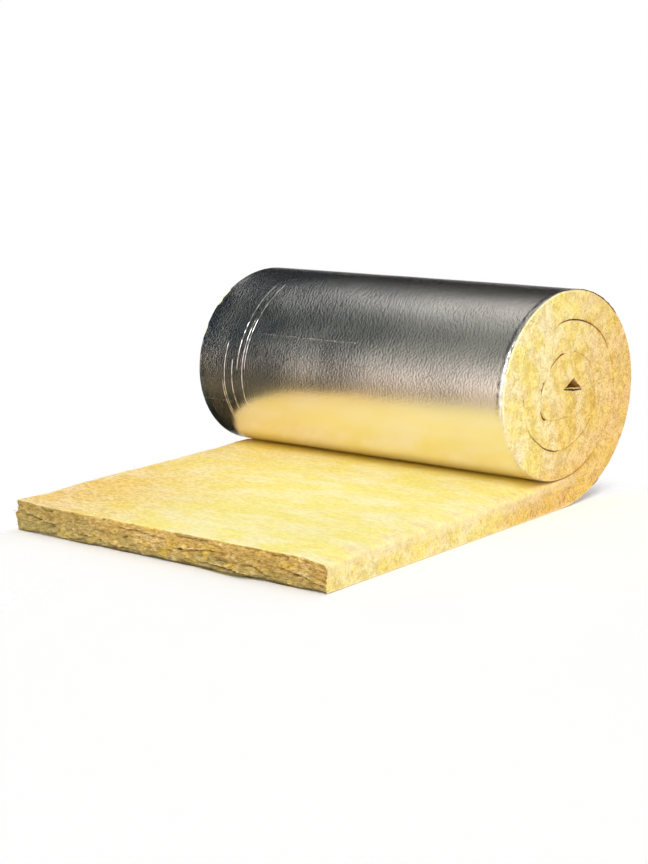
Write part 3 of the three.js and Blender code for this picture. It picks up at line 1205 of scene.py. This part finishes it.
def crinkled(flat):
    """The height of the crinkles and the grid at a place on the foil."""
    x, along, _ = parts(flat)
    wrinkles = noise(stretched(flat, (1.0, 0.9, 0.0)), CRINKLE_SCALE, 3.0, 0.6)
    patches = ramp(noise(flat, 7.0), 0.4, 0.62, 0.7, 1.0)
    patches = patches * around(along, LOW_PLACE, 0.1, 0.3, 0.7, 1.0)
    patches = patches * (ramp(x, -0.5, 0.2, 0.5, 1.0) + ramp(x, -0.45, -0.54, 0.0, 0.5))
    across = times_plus(along, -0.35, x)
    slanted = noise(vector(across, along * 0.3, 0.0), CRINKLE_SCALE, 3.0, 0.6)
    upper = around(along, SLANTED_PLACE, 0.05, 0.16, 0.8, 0.1) * ramp(x, -0.5, 0.0, 0.4, 1.0)
    height = times_plus(slanted, upper, wrinkles * patches)
    edge = ramp(x, HALF_WIDTH - 26 * MM, HALF_WIDTH - 10 * MM, 0.0, 1.2)
    height = times_plus(noise(flat, 210.0, 2.0, 0.6), edge, height)
    threads = [calc("SINE", place * (FULL_TURN / THREAD_STEP)) for place in (x, along)]
    return height + ramp(highest(*threads), 0.7, 1.0, 0.0, THREAD_HEIGHT)


print("a thread of the grid lies every", round(THREAD_STEP / MM), "mm")

# %% Aluminium foil
FOIL_TINT = (0.97, 0.895, 0.865, 1)
CRINKLE_DEPTH = 0.85 * MM


def aluminium_foil():
    """A metal mirror with crinkles. Its blur has one direction on the whole roll, set by Tangent."""
    material, tree, shader = new_material("aluminium_foil")
    settings = {"Base Color": FOIL_TINT, "Metallic": 1.0, "Roughness": 0.22, "Anisotropic": 0.85,
                "Anisotropic Rotation": 0.25}
    for name, value in settings.items():
        shader[name].default_value = value
    feed(shader["Tangent"], node(tree, "ShaderNodeCombineXYZ", {"X": 1.0}))
    height = crinkled(painted(tree, "flat", "Vector"))
    feed(shader["Normal"], node(tree, "ShaderNodeBump", {
        "Height": height, "Strength": 1.0, "Distance": CRINKLE_DEPTH}))
    print("the foil finish has", len(tree.nodes), "nodes")
    return material


FOIL_FINISH = aluminium_foil()

# %% [markdown]
# ## The foil facing
#
# The foil is a thin laminate, so it is a slab too, only 0.4 mm thick. A plane with Solidify would
# also do, but then its edge wouldn't follow the wool's. Its outer side is fine where it shows, on
# the outer turn. It isn't a perfect cylinder there: handling has left sharp folds, short ones that
# run round the roll near its far end and long ones that run along it. Each is a ridge of a few
# rows or columns of points, with flat foil right beside it, so that it glints as a thin line.

# %% Folds in the foil
CREASE_HALF = 0.8 * MM
CREASE_HEIGHT = 0.65 * MM
CREASE_POINTS = (-2.2, -1, 0, 1, 2.2)
LONG_HALF = 1.6 * MM
ROUND_CREASES = [(-0.430, 1.28, 1.62), (-0.398, 1.27, 1.61), (-0.408, 1.43, 1.77),
                 (-0.485, 1.53, 1.82), (-0.452, 1.59, 1.77), (-0.493, 1.66, 1.86)]
LONG_CREASES = [(1.487, -0.39, 0.03, 1.25 * MM), (1.566, -0.46, 0.1, 0.75 * MM),
                (1.742, -0.6, -0.47, 1.2 * MM)]


def with_creases(positions, creases, half):
    """The positions with five more at each crease, and none that crowd them."""
    ridge_places = [crease[0] + step * half for crease in creases for step in CREASE_POINTS]
    spaced = [p for p in positions if all(abs(p - ridge) > half for ridge in ridge_places)]
    return sorted({round(p, 6) for p in spaced + ridge_places})


def crease_lift(x, along):
    """How high the foil stands on a crease, with breaks along it. A round crease is at one x and
    runs from start to stop along the blanket, and a long one the other way round."""
    uneven = 0.4 * math.sin(190 * along + 70 * x) + 0.3 * math.sin(77 * along + 200 * x)
    broken = 0.4 + 0.6 * smooth(0.6 + uneven)
    for place, start, stop in ROUND_CREASES:
        if abs(x - place) < 0.1 * MM and start < along < stop:
            return CREASE_HEIGHT * broken
    for place, start, stop, height in LONG_CREASES:
        if abs(along - place) < 0.1 * MM and start < x < stop:
            return height * broken
    return 0.0


print(len(ROUND_CREASES), "folds run round the roll and", len(LONG_CREASES), "run along it")

# %% The foil's edges
FOIL_INSET = 4 * MM
FAR_INSET = 1.5 * MM
TORN_INSET = 7 * MM
INSET_WIDTH = 20 * MM
TORN_TURN = 0.63
SWAY = 4 * MM
SWAY_PLACE = -0.45
SWAY_WIDTH = 0.07


def far_inset(along):
    """How far the foil's far edge stands back from the wool: more in some places high on the front."""
    broken = smooth(0.3 + 0.6 * math.sin(43 * along) + 0.4 * math.sin(119 * along))
    return FAR_INSET + TORN_INSET * near_turn(max(along, 0.0), TORN_TURN) * broken


def foil_shape(x, along, level, loft):
    """A foil point, pulled in a little at the sides and lifted on a crease."""
    inset = FOIL_INSET if x > 0 else far_inset(along)
    inset *= (1 - 1.1 * stands_proud(x, along)) * smooth(1 - (HALF_WIDTH - abs(x)) / INSET_WIDTH)
    sway = SWAY * math.sin(12 * along + 6 * x) * smooth(2 - abs(x - SWAY_PLACE) / SWAY_WIDTH)
    lift = crease_lift(x, along) if level == 0 else 0.0
    broken = 0.35 + 0.65 * smooth(0.5 + 0.5 * math.sin(400 * along) + 0.4 * math.sin(171 * along))
    drop = edge_drop(x, along) * broken
    return (x - math.copysign(inset, x) + sway, along, level + (drop - lift) / loft)


foil_edge = foil_shape(HALF_WIDTH, -0.5, 0, FOIL)[0]
print("under the tail the foil stops", round((HALF_WIDTH - foil_edge) / MM, 1), "mm short of the wool")

# %% Flat foil
FOIL_STEP = 8 * MM
TURN_FOIL_STEP = 6 * MM
FRONT_ROWS = 40 * MM

foil_edges = [0, 2 * MM, 5 * MM, 9 * MM, 14 * MM]
foil_fine = [HALF_WIDTH - step for step in foil_edges] + steps(0, HALF_WIDTH - INSET_WIDTH, FOIL_STEP)
foil_fine = with_creases(mirrored(foil_fine), ROUND_CREASES, CREASE_HALF)
foil_rows = steps(FOIL_SETBACK - FLAT_TAIL, FRONT_ROWS - FLAT_TAIL, 10 * MM)
foil_rows += steps(FRONT_ROWS - FLAT_TAIL, 0, 50 * MM)[1:]
foil_rows += with_creases(steps(0, OUTER_TURN, TURN_FOIL_STEP)[1:], LONG_CREASES, LONG_HALF)
foil_rows += steps(OUTER_TURN, WOUND_LENGTH, 14 * MM)[1:]
foil_medium = mirrored(steps(0, HALF_WIDTH, 20 * MM))
foil_inside = [foil_medium if along < 0 else coarse for along in foil_rows]
foil_outside = [foil_fine if 0 <= along <= OUTER_TURN + MM else inner
                for along, inner in zip(foil_rows, foil_inside)]
foil = flat_slab("aluminium_foil_facing", foil_rows, foil_inside, foil_outside,
                 [[0, 1]] * len(foil_rows), lambda along: FOIL, foil_shape)

# %% [markdown]
# The wool under the foil is soft, so the foil waves and is dimpled all over, and its near edge is
# crumpled where it was cut. These are bigger than bump can show at an edge, so a tree moves the
# points. It leaves the floor side and the inner turns alone, where nothing shows and the wool is
# close behind.

# %% The crumpling tree
CRUMPLE_SIZES = ("Outer Turn", "Half Width", "Waves", "Dimples", "Crumple")


def build_crumpling():
    """Waves and dimples on the outer turn, and a crumpled near edge."""
    tree, size = new_tree("crumple_the_foil", CRUMPLE_SIZES)
    x, length, level = parts(node(tree, "GeometryNodeInputPosition"))
    flat, loft = stored(tree, "flat", "FLOAT_VECTOR"), stored(tree, "loft")
    outer = ramp(length, 0.15, 0.45) * ramp(size["Outer Turn"] - length, 0.02, 0.16)
    edge = size["Half Width"] - abs(x)
    waves = noise(stretched(flat, (1.0, 2.2, 0.0)), 2.6, 1.0)
    dimples = noise(flat, 38.0, 3.0)
    outward = waves * size["Waves"] + dimples * size["Dimples"]
    outward = outward - (size["Waves"] + size["Dimples"]) * 0.4
    crumpled = outer * ramp(edge, 0.006, 0.026, 1.0, 0.0) * ramp(x, -0.1, 0.1, 0.25, 1.0)
    crumple = noise(stretched(flat, (1.0, 0.7, 0.0)), 75.0) - 0.42
    crumple = crumple * crumpled * size["Crumple"]
    lift = times_plus(outward, outer * ramp(edge, 0.0, 0.03), crumple) / loft
    end_tree(size, moved(size["Geometry"], x, length, level - lift))
    return tree


add_tree(foil, build_crumpling(), {
    "Outer Turn": OUTER_TURN, "Half Width": HALF_WIDTH, "Waves": 5 * MM, "Dimples": 0.4 * MM,
    "Crumple": 7 * MM, "Finish": FOIL_FINISH})
wind(foil, 0.0, 2 * END_ANGLE, FOIL_FINISH)
settle_mesh(foil)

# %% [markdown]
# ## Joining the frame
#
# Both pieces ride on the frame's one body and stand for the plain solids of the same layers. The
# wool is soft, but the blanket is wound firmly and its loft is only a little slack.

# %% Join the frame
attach(wool, "root")
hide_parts("wool_blanket")
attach(foil, "root")
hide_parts("foil_facing")
print("both pieces ride on root")

# %% [markdown]
# ## The studio
#
# The roll lies on a pale floor in a white room. An ordinary floor would end in a line, so this one
# fades out instead, and the room behind it is just as white. It fades soonest beyond the far end,
# where the foil would otherwise mirror it, and latest toward the near corner, where the camera
# looks down on it.

# %% Floor
FLOOR_RADIUS = 5.0
FLOOR_DROP = 0.5 * MM
FRONT_LINE = -0.76
BACK_LINE = 0.5
FADE_NEAR = 4.4
FADE_FAR = 0.04
FADE_BACK = 0.3
FADE_FRONT = 0.6
FADE_CORNER = 4.4


def floor_finish():
    """Pale paint that fades into the white room around the roll, soonest beyond its far end."""
    material, tree, shader = new_material("floor_paint")
    shader["Base Color"].default_value = (0.995, 0.995, 0.995, 1)
    shader["Roughness"].default_value = 0.9
    x, y, _ = parts(node(tree, "ShaderNodeTexCoord")["Object"])
    near = ramp(x, HALF_WIDTH, HALF_WIDTH + FADE_NEAR, shape="LINEAR")
    far = ramp(x, -HALF_WIDTH, -HALF_WIDTH - FADE_FAR, shape="LINEAR")
    front = highest((FRONT_LINE - y) / ramp(x, -0.1, 0.5, FADE_FRONT, FADE_CORNER), 0.0)
    back = ramp(y, BACK_LINE, BACK_LINE + FADE_BACK, shape="LINEAR")
    away = vector_calc("LENGTH", vector(near, far, back + front))["Value"]
    paint = Value(tree.nodes["Principled BSDF"].outputs[0])
    clear = node(tree, "ShaderNodeBsdfTransparent")
    both = made_from("ShaderNodeMixShader", (ramp(away, 0.2, 1.0), paint, clear))
    feed(tree.nodes["Material Output"].inputs["Surface"], both)
    return material


bpy.ops.mesh.primitive_circle_add(vertices=96, radius=FLOOR_RADIUS, fill_type="NGON",
                                  location=(0, 0, -FLOOR_DROP))
floor = bpy.context.object
floor.name = "studio_floor"
floor.data.materials.append(floor_finish())
print("the floor is", 2 * FLOOR_RADIUS, "m wide")

# %% [markdown]
# Wool is matt, so it only needs even light. An area lamp would be stronger near its end of the
# roll, so Sun lamps with a wide angle are used: they are soft and equally strong everywhere. The
# key lamp shines from in front and a little from the right, high up, on the bare top, the torn
# front and the near sawn end. A weaker one shines low from the left on the far end.


# %% Lamps
def sun_lamp(name, direction, strength, angle):
    """A lamp that shines the same way everywhere. direction points from the object to the lamp."""
    light = bpy.data.lights.new(name, "SUN")
    light.energy = strength
    light.angle = math.radians(angle)
    lamp = bpy.data.objects.new(name, light)
    lamp.rotation_euler = Vector(direction).to_track_quat("Z", "Y").to_euler()
    bpy.context.scene.collection.objects.link(lamp)
    print(name, "has strength", strength)


sun_lamp("key_lamp", (0.33, -0.64, 0.69), 1.72, 28)
sun_lamp("far_end_lamp", (-0.97, 0.22, 0.06), 0.7, 30)

# %% [markdown]
# Foil shows its room, so the room is half of the foil's look. Boards and lamps could be set up for
# it to mirror, but they would throw light and shadow on the wool too. So the room is painted on the
# world, by direction. The turn is the angle around the roll's axis: 0 looks along the tail, 90
# degrees up and 180 degrees behind the roll. Round that axis lie soft bands of light. Past the far
# end, to the left, the room is dim. Along the axis it is pale with two grey bands, so that the
# foil's back has something to show, and they fade out where they would meet in a point.

# %% Bands of the room
ROOM_START = -70
ROOM_STOP = 180
LIT_STOPS = [(-25, (0.3, 0.2, 0.1)), (-8, (0.5, 0.38, 0.26)), (12, (1.0, 0.88, 0.78)),
             (27, (0.76, 0.73, 0.66)), (42, (0.4, 0.41, 0.37)), (65, (0.17, 0.185, 0.165)),
             (82, (0.18, 0.197, 0.175)), (98, (0.37, 0.385, 0.35)), (114, (0.7, 0.7, 0.65)),
             (128, (0.1, 0.108, 0.103)), (145, (0.0, 0.0, 0.0))]
DIM_STOPS = [(-58, (0.0, 0.004, 0.002)), (-34, (0.09, 0.086, 0.055)), (-10, (0.02, 0.03, 0.024)),
             (14, (0.0, 0.004, 0.012)), (36, (0.0, 0.014, 0.028)), (58, (0.0, 0.012, 0.026)),
             (80, (0.003, 0.008, 0.013))]
SIDE_LEVELS_BY_TURN = [(10, 0.92), (20, 0.96), (42, 0.96), (52, 0.45), (74, 0.45), (86, 0.96),
                       (122, 0.96), (138, 0.5), (164, 0.5), (176, 0.92)]
SIDE_STOPS = [(degrees, (level, level, level)) for degrees, level in SIDE_LEVELS_BY_TURN]


def banded(turn, stops):
    """Colours that change with the turn, each given by its degrees."""
    share = (turn - ROOM_START) / float(ROOM_STOP - ROOM_START)
    bands = made_from("ShaderNodeValToRGB", (share,))
    elements = bands.socket.node.color_ramp.elements
    while len(elements) < len(stops):
        elements.new(0.5)
    for element, (degrees, colour) in zip(elements, stops):
        element.position = (degrees - ROOM_START) / (ROOM_STOP - ROOM_START)
        element.color = colour + (1,)
    return bands


print(len(LIT_STOPS), "colours on the lit side,", len(DIM_STOPS), "on the dim side")

# %% The lit part of the room
GREENER = (0.84, 1.04, 0.96, 1)
BLUER = (0.94, 1.03, 1.2, 1)


def lit_room(x, turn):
    """The bands round the roll's axis, which fade out toward the left and are cooler there."""
    over = ramp(x, -0.65, -0.595, 0.0, 1.75) * ramp(x, -0.6, -0.56, 1.0, 0.67)
    strength = between(ramp(turn, 60.0, 100.0), ramp(x, -0.635, -0.585, 0.05, 1.22, "LINEAR"), over)
    bands = banded(turn, LIT_STOPS)
    lit = node(x.tree, "ShaderNodeVectorMath", {0: bands, 3: strength}, operation="SCALE")
    cooled = vector_calc("MULTIPLY", lit, mixed(ramp(turn, 60.0, 90.0), GREENER, BLUER))
    return mixed(ramp(x, -0.57, -0.625), lit, cooled)


print("on the left the bands are cooled by", GREENER[:3], "low down and", BLUER[:3], "higher up")

# %% Room
WHITE = (1.0, 1.0, 1.0, 1.0)
PALE = (0.96, 0.96, 0.96, 1)


def paint_room():
    """The world's colour by direction."""
    world = bpy.data.worlds.new("studio_room")
    bpy.context.scene.world = world
    world.use_nodes = True
    tree = world.node_tree
    x, y, z = parts(node(tree, "ShaderNodeTexCoord")["Generated"])
    turn = calc("DEGREES", calc("ARCTAN2", z, y * -1.0))
    right = ramp(times_plus(abs(turn - 45.0), 0.00024, x), -0.628, -0.59)
    room = mixed(right, banded(turn, DIM_STOPS), lit_room(x, turn))
    sides = highest(ramp(x, -0.45, -0.1), ramp(x, -0.78, -0.92))
    room = mixed(sides, room, mixed(ramp(abs(x), 0.9, 0.97), banded(turn, SIDE_STOPS), PALE))
    # White behind the roll and just below the horizon, so that the floor has no visible end.
    behind = ramp(abs(turn), 174.0, 177.0) * (ramp(x, -0.25, -0.42) * ramp(x, -0.96, -0.84))
    below = ramp(z, 0.01, -0.01) * ramp(z, -0.48, -0.43) * ramp(y, 0.0, 0.2)
    feed(tree.nodes["Background"].inputs["Color"], mixed(highest(behind, below), room, WHITE))
    print("the room has", len(tree.nodes), "nodes")


paint_room()

# %% [markdown]
# ## The camera
#
# It stands to the right of the tail, a little above the roll, with a longish lens. A short lens
# close by would show the same things, but it would widen the near end against the far one.

# %% Camera
CAMERA_PLACE = Vector((3.720, FLOOR_LINE - 4.7855, 1.4146))
CAMERA_YAW = 0.702
CAMERA_PITCH = 0.201
CAMERA_ROLL = -0.028
LENS_MM = 80.46

camera = bpy.data.objects.new("camera", bpy.data.cameras.new("camera"))
camera.data.lens = LENS_MM
camera.data.sensor_fit = "AUTO"
camera.data.clip_end = 100
camera.matrix_world = (Matrix.Translation(CAMERA_PLACE) @ Matrix.Rotation(CAMERA_YAW, 4, "Z")
                       @ Matrix.Rotation(math.pi / 2 - CAMERA_PITCH, 4, "X")
                       @ Matrix.Rotation(CAMERA_ROLL, 4, "Z"))
bpy.context.scene.collection.objects.link(camera)
bpy.context.scene.camera = camera
bpy.context.scene.view_settings.view_transform = "Standard"
print("the camera stands", round(CAMERA_PLACE.length, 2), "m from the middle of the part")
